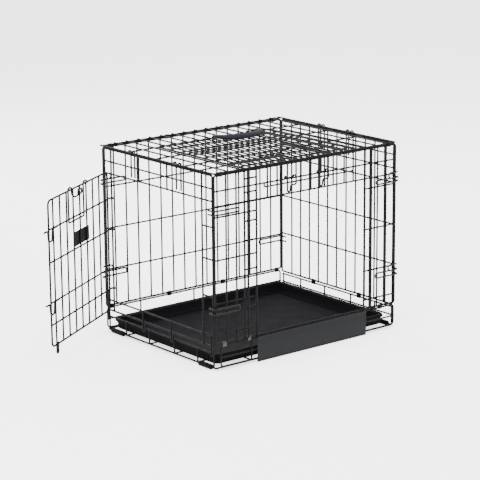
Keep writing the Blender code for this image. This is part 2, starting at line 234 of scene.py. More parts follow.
def mould_grain() -> bpy.types.ShaderNodeTree:
    """Spark-eroded grain of moulded plastic: a cell height and a broad sheen variation.

    Returns:
        The group, which puts out Height and Sheen.
    """
    tree = shader_group("mould_grain", {"Grain Scale": 1400.0, "Sheen Scale": 25.0},
                        {"Height": "NodeSocketFloat", "Sheen": "NodeSocketFloat"})
    given, out = tree.nodes.new("NodeGroupInput"), tree.nodes.new("NodeGroupOutput")
    grain = tree.nodes.new("ShaderNodeTexVoronoi")
    grain.feature = "SMOOTH_F1"
    coords = tree.nodes.new("ShaderNodeTexCoord")
    tree.links.new(coords.outputs["Object"], grain.inputs["Vector"])
    tree.links.new(given.outputs["Grain Scale"], grain.inputs["Scale"])
    sheen = noise(tree, given.outputs["Sheen Scale"], 4.0)
    tree.links.new(grain.outputs["Distance"], out.inputs["Height"])
    tree.links.new(sheen.outputs["Fac"], out.inputs["Sheen"])
    return tree


class Effect(Enum):
    """Shader groups that more than one finish uses, each with the function that builds it."""

    COAT = "coat_texture"
    RUB = "rub_marks"
    GRAIN = "mould_grain"

    def tree(self) -> bpy.types.ShaderNodeTree:
        """The group, built the first time that it is asked for."""
        builders = {Effect.COAT: coat_texture, Effect.RUB: rub_marks, Effect.GRAIN: mould_grain}
        return bpy.data.node_groups.get(self.value) or builders[self]()


class MaterialGraph:
    """A material's node tree, with the few links that every finish here makes."""

    def __init__(self, name: str, rough: float, metal: float) -> None:
        """Makes the material with its one principled shader.

        Args:
            name: the material's name.
            rough: the shader's roughness.
            metal: the shader's metallic value.
        """
        self.material = bpy.data.materials.new(name)
        self.material.use_nodes = True
        self.tree = self.material.node_tree
        self.shader = self.tree.nodes["Principled BSDF"]
        self.shader.inputs["Roughness"].default_value = rough
        self.shader.inputs["Metallic"].default_value = metal

    def effect(self, which: Effect, **values: float) -> bpy.types.Node:
        """Places a shared group.

        Args:
            which: the group.
            **values: its own values by input name, underscores for spaces.

        Returns:
            The group's node.
        """
        node = self.tree.nodes.new("ShaderNodeGroup")
        node.node_tree = which.tree()
        for label, value in values.items():
            node.inputs[label.replace("_", " ")].default_value = value
        return node

    def blend(self, factor: bpy.types.NodeSocket, low: object,
              high: Sequence[float]) -> bpy.types.NodeSocket:
        """Mixes two colours by a mask.

        Args:
            factor: the mask.
            low: a colour, or a colour socket, where the mask is 0.
            high: the colour where the mask is 1.

        Returns:
            The mixed colour's socket.
        """
        mix = self.tree.nodes.new("ShaderNodeMix")
        mix.data_type = "RGBA"
        self.tree.links.new(factor, mix.inputs["Factor"])
        if isinstance(low, bpy.types.NodeSocket):
            self.tree.links.new(low, mix.inputs["A"])
        else:
            mix.inputs["A"].default_value = (*low, 1.0)
        mix.inputs["B"].default_value = (*high, 1.0)
        return mix.outputs["Result"]

    def spread(self, value: bpy.types.NodeSocket, low: float, high: float) -> bpy.types.NodeSocket:
        """Maps a noise's useful middle range to another range.

        Args:
            value: the noise.
            low: the result at the bottom of the range.
            high: the result at the top.

        Returns:
            The mapped value's socket.
        """
        ramp = self.tree.nodes.new("ShaderNodeMapRange")
        self.tree.links.new(value, ramp.inputs["Value"])
        ramp.inputs["From Min"].default_value = 0.3
        ramp.inputs["From Max"].default_value = 0.7
        ramp.inputs["To Min"].default_value = low
        ramp.inputs["To Max"].default_value = high
        return ramp.outputs["Result"]

    def feed(self, label: str, socket: bpy.types.NodeSocket) -> None:
        """Links a socket to the shader's named input."""
        self.tree.links.new(socket, self.shader.inputs[label])

    def bump(self, height: bpy.types.NodeSocket, depth: float, strength: float) -> None:
        """Feeds the shader's normal from a height.

        Args:
            height: the height's socket.
            depth: the bump's distance.
            strength: the bump's strength.
        """
        node = self.tree.nodes.new("ShaderNodeBump")
        node.inputs["Distance"].default_value = depth
        node.inputs["Strength"].default_value = strength
        self.tree.links.new(height, node.inputs["Height"])
        self.feed("Normal", node.outputs["Normal"])


@dataclass(frozen=True)
class CoatedSteel:
    """Dark electro-coat on wire or thin sheet, rubbed a little brighter in places."""

    name: str
    color: tuple[float, float, float]
    light: tuple[float, float, float]
    rubbed: tuple[float, float, float]
    rough: float
    peel: float = 900.0
    cover: float = 0.66
    shine: float = 0.07

    def build(self) -> bpy.types.Material:
        """Makes the material.

        Returns:
            The material.
        """
        graph = MaterialGraph(self.name, self.rough, 0.0)
        graph.shader.inputs["Specular IOR Level"].default_value = self.shine
        coat = graph.effect(Effect.COAT, Mottle_Scale=60.0, Peel_Scale=self.peel)
        rub = graph.effect(Effect.RUB, Scale=42.0, Cover=self.cover)
        mottled = graph.blend(coat.outputs["Mottle"], self.color, self.light)
        graph.feed("Base Color", graph.blend(rub.outputs["Mask"], mottled, self.rubbed))
        graph.feed("Roughness", graph.spread(coat.outputs["Mottle"], self.rough - 0.07, self.rough + 0.10))
        graph.bump(coat.outputs["Height"], 0.0002, 0.25)
        return graph.material


@dataclass(frozen=True)
class MouldedPlastic:
    """Injection-moulded plastic with a fine grain."""

    name: str
    color: tuple[float, float, float]
    light: tuple[float, float, float]
    rough: float
    grain: float = 1400.0
    shine: float = 0.03

    def build(self) -> bpy.types.Material:
        """Makes the material.

        Returns:
            The material.
        """
        graph = MaterialGraph(self.name, self.rough, 0.0)
        graph.shader.inputs["Specular IOR Level"].default_value = self.shine
        grain = graph.effect(Effect.GRAIN, Grain_Scale=self.grain, Sheen_Scale=22.0)
        rub = graph.effect(Effect.RUB, Scale=70.0, Cover=0.62)
        mixed = graph.blend(grain.outputs["Sheen"], self.color, self.light)
        graph.feed("Base Color", graph.blend(rub.outputs["Mask"], mixed, tuple(c * 1.5 for c in self.light)))
        graph.feed("Roughness", graph.spread(grain.outputs["Sheen"], self.rough - 0.06, self.rough + 0.08))
        graph.bump(grain.outputs["Height"], 0.0003, 0.3)
        return graph.material


@dataclass(frozen=True)
class PaintedHighlightClip:
    """A lighter grey metal on a crimped steel clip, whose lighter grey is a painted highlight."""

    name: str = "zinc_clip"
    color: tuple[float, float, float] = (0.035, 0.035, 0.033)
    light: tuple[float, float, float] = (0.065, 0.063, 0.06)

    def build(self) -> bpy.types.Material:
        """Makes the material.

        Returns:
            The material.
        """
        graph = MaterialGraph(self.name, 0.34, 0.9)
        coat = graph.effect(Effect.COAT, Mottle_Scale=220.0, Peel_Scale=2400.0)
        graph.feed("Base Color", graph.blend(coat.outputs["Mottle"], self.color, self.light))
        graph.feed("Roughness", graph.spread(coat.outputs["Mottle"], 0.26, 0.44))
        graph.bump(coat.outputs["Height"], 0.0001, 0.2)
        return graph.material


@dataclass
class Finishes:
    """The crate's materials, built once."""

    wire: bpy.types.Material = field(init=False)
    bright_wire: bpy.types.Material = field(init=False)
    pan: bpy.types.Material = field(init=False)
    foot: bpy.types.Material = field(init=False)
    grip: bpy.types.Material = field(init=False)
    sheet: bpy.types.Material = field(init=False)
    highlight_clip: bpy.types.Material = field(init=False)

    def __post_init__(self) -> None:
        """Builds every finish."""
        self.wire = CoatedSteel("black_wire", (0.0030, 0.0030, 0.0034), (0.0060, 0.0060, 0.0066),
                                (0.018, 0.018, 0.020), 0.42).build()
        self.bright_wire = CoatedSteel("spring_wire", (0.0042, 0.0042, 0.0046), (0.0084, 0.0084, 0.0092),
                                       (0.028, 0.028, 0.030), 0.36, cover=0.60, shine=0.12).build()
        self.pan = MouldedPlastic("pan_plastic", (0.0030, 0.0030, 0.0036), (0.0052, 0.0052, 0.0062),
                                  0.66).build()
        self.foot = MouldedPlastic("foot_plastic", (0.0034, 0.0034, 0.0038), (0.0064, 0.0064, 0.0070),
                                   0.46).build()
        self.grip = MouldedPlastic("grip_plastic", (0.012, 0.0125, 0.016), (0.019, 0.0195, 0.025),
                                   0.42).build()
        self.sheet = CoatedSteel("guard_sheet", (0.0055, 0.0058, 0.0068), (0.0080, 0.0084, 0.0096),
                                 (0.013, 0.0135, 0.015), 0.45, peel=420.0, cover=0.72, shine=0.12).build()
        # lighter grey metal that two clips get as a painted highlight
        self.highlight_clip = PaintedHighlightClip().build()


# ---- Geometry node trees ----


class NodeRecipe:
    """A geometry node tree being built: nodes by short calls, and named inputs."""

    def __init__(self, name: str) -> None:
        """Starts a tree with a geometry input and output.

        Args:
            name: the tree's name.
        """
        self.tree = bpy.data.node_groups.new(name, "GeometryNodeTree")
        self.tree.interface.new_socket(name="Geometry", in_out="OUTPUT", socket_type="NodeSocketGeometry")
        self.tree.interface.new_socket(name="Lines", in_out="INPUT", socket_type="NodeSocketGeometry")
        self.given = self.tree.nodes.new("NodeGroupInput")
        self.out = self.tree.nodes.new("NodeGroupOutput")

    def ask(self, label: str, kind: str, value: object = None) -> bpy.types.NodeSocket:
        """Adds a named input.

        Args:
            label: its name.
            kind: its socket type.
            value: its default, or None for the type's own.

        Returns:
            Its socket inside the tree.
        """
        item = self.tree.interface.new_socket(name=label, in_out="INPUT", socket_type=kind)
        if value is not None:
            item.default_value = value
        return self.given.outputs[label]

    def node(self, kind: str, links: dict[str, bpy.types.NodeSocket] | None = None,
             values: dict[str, object] | None = None, **settings: object) -> bpy.types.Node:
        """Adds a node.

        Args:
            kind: the node's type.
            links: what feeds its inputs, by input name.
            values: plain values of its inputs, by input name.
            **settings: the node's own properties.

        Returns:
            The node.
        """
        made = self.tree.nodes.new(kind)
        for key, value in settings.items():
            setattr(made, key, value)
        for label, value in (values or {}).items():
            made.inputs[label].default_value = value
        for label, socket in (links or {}).items():
            self.tree.links.new(socket, made.inputs[label])
        return made

    def attribute(self, name: str) -> bpy.types.NodeSocket:
        """A named number on the input's points."""
        return self.node("GeometryNodeInputNamedAttribute", values={"Name": name},
                         data_type="FLOAT").outputs["Attribute"]

    def end(self, geometry: bpy.types.NodeSocket, material: bpy.types.NodeSocket) -> None:
        """Realizes the instances, sets the material and closes the tree.

        Args:
            geometry: what the tree has made.
            material: the material's socket.
        """
        real = self.node("GeometryNodeRealizeInstances", {"Geometry": geometry})
        dressed = self.node("GeometryNodeSetMaterial", {"Geometry": real.outputs[0], "Material": material})
        self.tree.links.new(dressed.outputs[0], self.out.inputs["Geometry"])


def welded_wires_tree() -> bpy.types.NodeTree:
    """Round wires along every line, bent to a radius at their corners, with a bead at each weld.

    The points carry three numbers: the wire's radius, the bend's radius, and the size of a weld bead, which
    is more than 0 only on loose points.

    Returns:
        The tree.
    """
    recipe = NodeRecipe("welded_wires")
    sides = recipe.ask("Wire Sides", "NodeSocketInt", 12)
    steps = recipe.ask("Bend Steps", "NodeSocketInt", 6)
    material = recipe.ask("Material", "NodeSocketMaterial")
    lines = recipe.given.outputs["Lines"]
    curve = recipe.node("GeometryNodeMeshToCurve", {"Mesh": lines})
    bent = recipe.node("GeometryNodeFilletCurve",
                       {"Curve": curve.outputs[0], "Count": steps, "Radius": recipe.attribute("bend")},
                       {"Limit Radius": True}, mode="POLY")
    circle = recipe.node("GeometryNodeCurvePrimitiveCircle", {"Resolution": sides}, {"Radius": 1.0})
    tubes = recipe.node("GeometryNodeCurveToMesh",
                        {"Curve": bent.outputs[0], "Profile Curve": circle.outputs[0],
                         "Scale": recipe.attribute("wire_radius")}, {"Fill Caps": True})
    bead_size = recipe.attribute("bead")
    is_weld = recipe.node("FunctionNodeCompare", {"A": bead_size}, {"B": 0.0}, data_type="FLOAT",
                          operation="GREATER_THAN")
    welds = recipe.node("GeometryNodeMeshToPoints", {"Mesh": lines, "Selection": is_weld.outputs[0]})
    bead = recipe.node("GeometryNodeMeshUVSphere", values={"Segments": 8, "Rings": 4, "Radius": 1.0})
    beads = recipe.node("GeometryNodeInstanceOnPoints",
                        {"Points": welds.outputs[0], "Instance": bead.outputs[0],
                         "Scale": recipe.attribute("bead")})
    joined = recipe.node("GeometryNodeJoinGeometry")
    recipe.tree.links.new(beads.outputs[0], joined.inputs[0])
    recipe.tree.links.new(tubes.outputs[0], joined.inputs[0])
    recipe.end(joined.outputs[0], material)
    return recipe.tree


def ribs_tree() -> bpy.types.NodeTree:
    """Small ribs set across a line at an even spacing, turned to follow it.

    Returns:
        The tree.
    """
    recipe = NodeRecipe("ribs_along_line")
    spacing = recipe.ask("Spacing", "NodeSocketFloat", 0.01)
    size = recipe.ask("Rib Size", "NodeSocketVector")
    material = recipe.ask("Material", "NodeSocketMaterial")
    curve = recipe.node("GeometryNodeMeshToCurve", {"Mesh": recipe.given.outputs["Lines"]})
    spots = recipe.node("GeometryNodeResampleCurve", {"Curve": curve.outputs[0], "Length": spacing},
                        mode="LENGTH")
    tangent = recipe.node("GeometryNodeInputTangent")
    turn = recipe.node("FunctionNodeAlignRotationToVector", {"Vector": tangent.outputs[0]}, axis="X",
                       pivot_axis="Z")
    rib = recipe.node("GeometryNodeMeshCube", {"Size": size})
    ribs = recipe.node("GeometryNodeInstanceOnPoints",
                       {"Points": spots.outputs[0], "Instance": rib.outputs["Mesh"],
                        "Rotation": turn.outputs[0]})
    recipe.end(ribs.outputs[0], material)
    return recipe.tree


class Tree(Enum):
    """The geometry node trees, each built the first time that it is asked for."""

    WIRES = "welded_wires"
    RIBS = "ribs_along_line"

    def tree(self) -> bpy.types.NodeTree:
        """The node tree."""
        builders = {Tree.WIRES: welded_wires_tree, Tree.RIBS: ribs_tree}
        return bpy.data.node_groups.get(self.value) or builders[self]()


def bake_nodes(name: str, lines: bpy.types.Mesh, which: Tree, values: dict[str, object]) -> bpy.types.Object:
    """Runs a geometry node tree on a mesh of lines and keeps the result as a plain mesh.

    Args:
        name: the piece's name.
        lines: the mesh whose edges and loose points the tree reads.
        which: the tree.
        values: its inputs, by name.

    Returns:
        An object with the resulting mesh and no modifier.
    """
    ob = bpy.data.objects.new(name, lines)
    bpy.context.scene.collection.objects.link(ob)
    modifier = ob.modifiers.new("nodes", "NODES")
    modifier.node_group = which.tree()
    for item in modifier.node_group.interface.items_tree:
        if item.in_out == "INPUT" and item.name in values:
            modifier[item.identifier] = values[item.name]
    bpy.context.view_layer.update()
    baked = bpy.data.meshes.new_from_object(ob.evaluated_get(bpy.context.evaluated_depsgraph_get()))
    ob.modifiers.remove(modifier)
    ob.data = baked
    bpy.data.meshes.remove(lines)
    baked.name = name
    return smooth(ob)


def smooth(ob: bpy.types.Object, angle: float = 40.0) -> bpy.types.Object:
    """Shades an object smooth, with its sharper edges left sharp.

    Args:
        ob: the object.
        angle: the least angle of a sharp edge, in degrees.

    Returns:
        The same object.
    """
    ob.data.shade_smooth()
    ob.data.set_sharp_from_angle(angle=radians(angle))
    return ob


# ---- Wire work ----


@dataclass
class WireWork:
    """Lines and weld points that are gathered, then baked into one piece of bent and welded wire."""

    points: list[Vector] = field(default_factory=list)
    edges: list[tuple[int, int]] = field(default_factory=list)
    radii: list[float] = field(default_factory=list)
    bends: list[float] = field(default_factory=list)
    beads: list[float] = field(default_factory=list)

    def run(self, places: Sequence[Vector], radius: float, bend: float = 0.0, closed: bool = False) -> None:
        """Adds one wire.

        Args:
            places: the points that it passes through.
            radius: the wire's radius.
            bend: the radius of its bends.
            closed: whether it is a loop.
        """
        first = len(self.points)
        count = len(places)
        self.points += places
        self.radii += [drawn(radius)] * count
        self.bends += [bend] * count
        self.beads += [0.0] * count
        self.edges += [(first + i, first + i + 1) for i in range(count - 1)]
        if closed:
            self.edges.append((first + count - 1, first))

    def weld(self, place: Vector, size: float) -> None:
        """Adds a weld bead.

        Args:
            place: its centre.
            size: its radius, before it is drawn thicker.
        """
        self.points.append(place)
        self.radii.append(0.0)
        self.bends.append(0.0)
        self.beads.append(drawn(size))

    def bake(self, name: str, material: bpy.types.Material, sides: int = 12) -> bpy.types.Object:
        """Makes the piece.

        Args:
            name: the piece's name.
            material: its finish.
            sides: faces round a wire.

        Returns:
            The piece, as a plain mesh.
        """
        mesh = bpy.data.meshes.new(name + "_lines")
        mesh.from_pydata(self.points, self.edges, [])
        for label, values in (("wire_radius", self.radii), ("bend", self.bends), ("bead", self.beads)):
            mesh.attributes.new(label, "FLOAT", "POINT").data.foreach_set("value", values)
        return bake_nodes(name, mesh, Tree.WIRES, {"Wire Sides": sides, "Material": material})


@dataclass(frozen=True)
class Wire:
    """A straight wire of a grille: its place across, where it starts and ends, and its radius."""

    at: float
    start: float
    end: float
    radius: float = THIN


def wires(places: Sequence[float], start: float, end: float, radius: float = THIN) -> list[Wire]:
    """Several wires of the same span."""
    return [Wire(at, start, end, radius) for at in places]


def pitch(first: float, last: float, count: int) -> list[float]:
    """Evenly spaced places, both ends included."""
    return [first + (last - first) * i / (count - 1) for i in range(count)]


@dataclass
class Grille:
    """A welded panel: rows in its plane, columns laid over them, and a bent perimeter wire.

    Attributes:
        side: gives a place from along, up and out.
        rows: wires along the panel, placed by height.
        cols: wires up the panel, placed along it.
        rim: along and up limits of the perimeter wire's centre line, or None.
        corner: radius of the perimeter wire's corners.
        rim_radius: radius of the perimeter wire.
    """

    side: Side
    rows: list[Wire]
    cols: list[Wire]
    rim: tuple[float, float, float, float] | None = None
    corner: float = 0.005
    rim_radius: float = THICK

    def lay(self, work: WireWork) -> WireWork:
        """Adds the grille's wires and welds to a piece of wire work.

        Args:
            work: the wire work.

        Returns:
            The same wire work.
        """
        for row in self.rows:
            work.run([self.side(row.start, row.at, 0.0), self.side(row.end, row.at, 0.0)], row.radius)
        for col in self.cols:
            out = self.depth(col)
            work.run([self.side(col.at, col.start, out), self.side(col.at, col.end, out)], col.radius)
        crossed = list(self.rows)
        if self.rim:
            a0, a1, b0, b1 = self.rim
            corners = [self.side(a, b, 0.0) for a, b in ((a0, b0), (a1, b0), (a1, b1), (a0, b1))]
            work.run(corners, self.rim_radius, self.corner, closed=True)
            crossed += [Wire(b0, a0, a1, self.rim_radius), Wire(b1, a0, a1, self.rim_radius)]
        for row in crossed:
            for col in self.cols:
                if self.meet(row, col):
                    out = self.depth(col) * row.radius / (row.radius + col.radius)
                    work.weld(self.side(col.at, row.at, out), min(row.radius, col.radius) * BEAD)
        return work

    @staticmethod
    def depth(col: Wire) -> float:
        """How far out a column lies, sunk into a thin row."""
        return (THIN + col.radius) * SEAT

    @staticmethod
    def meet(row: Wire, col: Wire) -> bool:
        """Whether a row and a column cross or end on each other.

        Args:
            row: the row.
            col: the column.

        Returns:
            True where they meet, with a little to spare.
        """
        spare = 0.003
        along = row.start - spare <= col.at <= row.end + spare
        return along and col.start - spare <= row.at <= col.end + spare


def curl(centre: Vector, u: Vector, v: Vector, radius: float, start: float, turns: float,
         rise: Vector | None = None) -> list[Vector]:
    """Points round a coil.

    Args:
        centre: the coil's centre.
        u: the direction at angle 0.
        v: the direction at a quarter turn.
        radius: the coil's radius.
        start: its first angle, in turns.
        turns: how far it goes, negative to go back.
        rise: how far it moves over one turn.

    Returns:
        Points 12 to the turn.
    """
    count = max(3, ceil(abs(turns) * 12))
    places = []
    for i in range(count + 1):
        part = turns * i / count
        angle = 2 * pi * (start + part)
        lift = (rise or Vector()) * abs(part)
        places.append(centre + radius * (cos(angle) * u + sin(angle) * v) + lift)
    return places


# ---- Meshes other than wire ----


def mesh_piece(name: str, bm: bmesh.types.BMesh, material: bpy.types.Material) -> bpy.types.Object:
    """An object at the origin for a finished bmesh, its normals facing out.

    Args:
        name: the piece's name.
        bm: the bmesh, which is freed.
        material: the piece's finish.

    Returns:
        The object.
    """
    bmesh.ops.remove_doubles(bm, verts=bm.verts, dist=1e-6)
    bmesh.ops.recalc_face_normals(bm, faces=bm.faces)
    mesh = bpy.data.meshes.new(name)
    bm.to_mesh(mesh)
    bm.free()
    mesh.materials.append(material)
    ob = bpy.data.objects.new(name, mesh)
    bpy.context.scene.collection.objects.link(ob)
    return smooth(ob)


def loft(name: str, rings: Sequence[Sequence[Vector]], material: bpy.types.Material, closed: bool = False,
         capped: bool = True) -> bpy.types.Object:
    """Skins rings of equal length, closing the ends with caps or on themselves.

    Args:
        name: the piece's name.
        rings: the cross-sections, each a closed loop of points.
        material: the piece's finish.
        closed: whether the last ring joins the first.
        capped: whether open ends get a cap.

    Returns:
        The piece.
    """
    bm = bmesh.new()
    loops = [[bm.verts.new(p) for p in places] for places in rings]
    pairs = list(zip(loops, loops[1:])) + ([(loops[-1], loops[0])] if closed else [])
    for one, two in pairs:
        for i in range(len(one)):
            j = (i + 1) % len(one)
            bm.faces.new((one[i], one[j], two[j], two[i]))
    if capped and not closed:
        bm.faces.new(loops[0][::-1])
        bm.faces.new(loops[-1])
    return mesh_piece(name, bm, material)


def bevelled(ob: bpy.types.Object, width: float, segments: int = 2) -> bpy.types.Object:
    """Rounds an object's edges.

    Args:
        ob: the object.
        width: how wide the rounding is.
        segments: faces across it.

    Returns:
        The same object.
    """
    modifier = ob.modifiers.new("rounding", "BEVEL")
    modifier.width = width
    modifier.segments = segments
    modifier.limit_method = "ANGLE"
    modifier.angle_limit = radians(40)
    return ob


def rounded_rectangle(x0: float, x1: float, y0: float, y1: float, radius: float, steps: int) -> list[tuple]:
    """Corner-rounded outline, counter-clockwise.

    Args:
        x0: lowest first coordinate.
        x1: highest first coordinate.
        y0: lowest second coordinate.
        y1: highest second coordinate.
        radius: the corners' radius.
        steps: faces to a corner.

    Returns:
        Pairs of coordinates.
    """
    places = []
    centres = ((x1 - radius, y0 + radius, -0.25), (x1 - radius, y1 - radius, 0.0),
               (x0 + radius, y1 - radius, 0.25), (x0 + radius, y0 + radius, 0.5))
    for cx, cy, start in centres:
        for i in range(steps + 1):
            angle = 2 * pi * (start + 0.25 * i / steps)
            places.append((cx + radius * cos(angle), cy + radius * sin(angle)))
    return places


def place(piece: bpy.types.Object, node: str, slot: str = "black_wire",
          body: str = "crate") -> bpy.types.Object:
    """Makes a piece stand for a CAD node and move with a body.

    Args:
        piece: the piece.
        node: the CAD node that it replaces.
        slot: not used.
        body: the body that it rides on.

    Returns:
        The same piece.
    """
    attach(piece, body)
    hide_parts(node)
    LOG.info("%s rides on %s", piece.name, body)
    return piece


# ---- The base ----


@dataclass
class Base:
    """Wire floor with upturned edges, on four plastic sleeves."""

    shell: Shell
    finishes: Finishes
    runners: tuple[float, ...] = (0.148, 0.047, -0.060, -0.156)
    crossers: tuple[float, ...] = (-0.1875, -0.008, 0.172)
    curb_low: float = 0.0280
    inset: float = 0.003
    side_curb: float = 0.0590
    left_curb: float = 0.0375
    right_curb: float = 0.0500
    foot_radius: float = 0.0068
    foot_bore: float = 0.0036

    def build(self) -> None:
        """Makes the floor, its edges and the feet."""
        self.floor()
        self.edges()
        x_end = self.shell.half_l - self.inset
        for side, x in (("left", -x_end), ("right", x_end)):
            for end, y0, y1 in (("front", -0.212, -0.163), ("back", 0.160, 0.212)):
                self.foot("foot_%s_%s" % (side, end), self.shell.middle + x, y0, y1)

    def floor(self) -> None:
        """The floor grid: a perimeter wire, long runners and three wires across."""
        x, y = self.shell.half_l - self.inset, self.shell.half_w - 0.0035
        grid = Grille(self.shell.bottom, wires(self.runners, -x, x), wires(self.crossers, -y, y),
                      (-x, x, -y, y))
        place(grid.lay(WireWork()).bake("floor_grid_wires", self.finishes.wire), "floor_grid")

    def edges(self) -> None:
        """The four upturned edges."""
        up = self.shell.floor + THICK
        half = self.shell.half_l
        last = half - 0.0025
        for name, side, first in (("curb_front", self.shell.front, -0.2835),
                                  ("curb_back", self.shell.back, -0.2975)):
            work = WireWork()
            hoop = [side(a, b, 0.0) for a, b in ((first, self.side_curb), (first, up), (last, up),
                                                 (last, self.side_curb))]
            work.run(hoop, THIN, 0.008, closed=True)
            grille = Grille(side, wires((self.curb_low,), first, half),
                            wires(self.crossers, up, self.side_curb))
            place(grille.lay(work).bake(name + "_wires", self.finishes.wire), name)
        for name, side, inward, rows in (
                ("curb_left", self.shell.left, 0.0045, (self.left_curb,)),
                ("curb_right", self.shell.right, 0.0, (self.curb_low, self.right_curb))):

            def inner(a: float, b: float, out: float, side: Side = side, inward: float = inward) -> Vector:
                """A place on this side, moved inwards."""
                return side(a, b, out - inward)

            cols = wires((-0.222, *self.runners, 0.222), up, rows[-1])
            grille = Grille(inner, wires(rows, -0.224, 0.224), cols)
            place(grille.lay(WireWork()).bake(name + "_wires", self.finishes.wire), name)

    def foot(self, name: str, x: float, y0: float, y1: float) -> None:
        """A sleeve pushed over the end wire, with rounded ends and grip rings.

        Args:
            name: the foot's CAD node.
            x: place of its axis.
            y0: its front end.
            y1: its back end.
        """
        radius, bore, edge = self.foot_radius, self.foot_bore, 0.0018
        profile = [(y0, bore), (y0, radius - edge), (y0 + edge * 0.3, radius - edge * 0.3),
                   (y0 + edge, radius)]
        lip, groove, cut = 0.0016, 0.0008, 0.0007
        for i in range(1, 4):
            y = y0 + (y1 - y0) * i / 4
            profile += [(y - lip, radius), (y - groove, radius - cut), (y + groove, radius - cut),
                        (y + lip, radius)]
        profile += [(y1 - edge, radius), (y1 - edge * 0.3, radius - edge * 0.3), (y1, radius - edge),
                    (y1, bore)]
        sides = 32
        rings = []
        for i in range(sides):
            angle = 2 * pi * i / sides
            axis_z = self.shell.floor + self.shell.lift
            rings.append([Vector((x + r * cos(angle), y, axis_z + r * sin(angle))) for y, r in profile])
        place(loft(name + "_sleeve", rings, self.finishes.foot, closed=True), name, "black_plastic")


# ---- Panels ----


@dataclass
class Panels:
    """The five welded panels."""

    shell: Shell
    finishes: Finishes
    side_bottom: float = 0.0645
    end_bottom: float = 0.0575
    end_half: float = 0.226
    header_low: float = 0.413
    header_high: float = 0.451
    doorway: tuple[float, float] = (-0.1695, 0.190)
    tracks: tuple[float, ...] = (-0.2075, -0.1965, 0.2093, 0.2142)
    jambs: tuple[float, float] = (-0.187, 0.197)
    handle_y: float = 0.1205

    @property
    def top(self) -> float:
        """Height of the panels' top wires."""
        return self.shell.roof - UNDER_ROOF

    def build(self) -> None:
        """Makes every panel."""
        self.back()
        self.front()
        self.left_end()
        self.right_end()
        self.roof()

    def finish(self, name: str, grille: Grille, work: WireWork | None = None) -> None:
        """Bakes a grille, with any extra wires, in place of its node."""
        wires_piece = grille.lay(work or WireWork()).bake(name + "_wires", self.finishes.wire)
        place(wires_piece, name, body="right_end" if name == "right_end_panel" else "crate")

    def back(self) -> None:
        """The back: upright wires over three rows."""
        half = self.shell.half_l
        grille = Grille(self.shell.back, wires((0.163, 0.2735, 0.3855), -half, half),
                        wires(pitch(-0.2655, 0.2655, 15), self.side_bottom, self.top),
                        (-half, half, self.side_bottom, self.top))
        self.finish("back_panel", grille)

    def front(self) -> None:
        """The front: two barred strips, the doorway's tracks, and the header."""
        half = self.shell.half_l
        left, right = self.doorway
        rows = wires((self.header_low, self.header_high), -half, half)
        for z in (0.089, 0.167, 0.278, 0.386):
            rows += [Wire(z, -half, left), Wire(z, right, half)]
        rungs = [0.118 + 0.0245 * i for i in (1, 3, 5, 8, 10)] + [0.436, 0.470]
        rows += wires(rungs, self.tracks[0], left)
        cols = wires((*self.tracks, left, right), self.side_bottom, self.top, THICK)
        cols += wires((-0.265, -0.233, 0.236, 0.266), self.side_bottom, self.top)
        cols += wires((-0.1335, -0.102, -0.0546, -0.024, 0.0537, 0.083, 0.120, 0.151), self.header_low,
                      self.top)
        cols += wires((-0.0688, -0.0404, 0.0425, 0.0665), self.header_high, self.top)
        cols += wires((0.008, 0.038), self.header_low, self.top, JAMB)
        grille = Grille(self.shell.front, rows, cols, (-half, half, self.side_bottom, self.top))
        self.finish("front_panel", grille)

    def left_end(self) -> None:
        """The end with the swing door: header, jambs, rungs and the hooks on the base's edge."""
        front, back = self.jambs
        rows = wires((0.085, 0.426, 0.4575), -self.end_half, self.end_half)
        rows += wires((0.184, 0.279, 0.361), -self.end_half, front)
        cols = [Wire(front, self.end_bottom, self.top, JAMB)] + wires((-0.0455, 0.073), 0.426, self.top)
        at, work = self.shell.left, WireWork()
        work.run([at(back, self.end_bottom), at(back, self.top)], JAMB)
        foot, tip, turn, out, weld_out = 0.0335, 0.053, 0.009, 0.0017, 0.0013
        for y in (-0.2165, -0.052, 0.0675):
            hook = [at(y, 0.088, out), at(y, foot, out), at(y - turn, foot, out), at(y - turn, tip, out)]
            work.run(hook, THIN, 0.0042)
            for z in (0.085, self.end_bottom):
                work.weld(at(y, z, weld_out), THIN * BEAD)
        grille = Grille(at, rows, cols, (-self.end_half, self.end_half, self.end_bottom, self.top))
        self.finish("left_end_panel", grille, work)

    def right_end(self) -> None:
        """The plain end."""
        rows = wires((0.168, 0.2755, 0.388, 0.426, 0.462), -self.end_half, self.end_half)
        cols = wires(pitch(-0.190, 0.186, 11), self.end_bottom, self.top)
        rim = (-self.end_half, self.end_half, self.end_bottom, self.top)
        self.finish("right_end_panel", Grille(self.shell.right, rows, cols, rim))

    def roof(self) -> None:
        """The roof, whose cross wires stand out past its back edge."""
        half_l, half_w = self.shell.half_l, self.shell.half_w
        rows = wires((-0.110, 0.005, self.handle_y), -half_l, half_l)
        rows.append(Wire(half_w, -half_l, half_l, THICK))
        work = WireWork()
        past = half_w + 0.0085
        hoop = [self.shell.top(a, b) for a, b in ((-half_l, past), (-half_l, -half_w), (half_l, -half_w),
                                                  (half_l, past))]
        work.run(hoop, THICK, 0.006)
        cols = wires(pitch(-0.2590, 0.2660, 15), -half_w, half_w + 0.0060)
        self.finish("roof_panel", Grille(self.shell.top, rows, cols), work)


# ---- Front door hardware ----


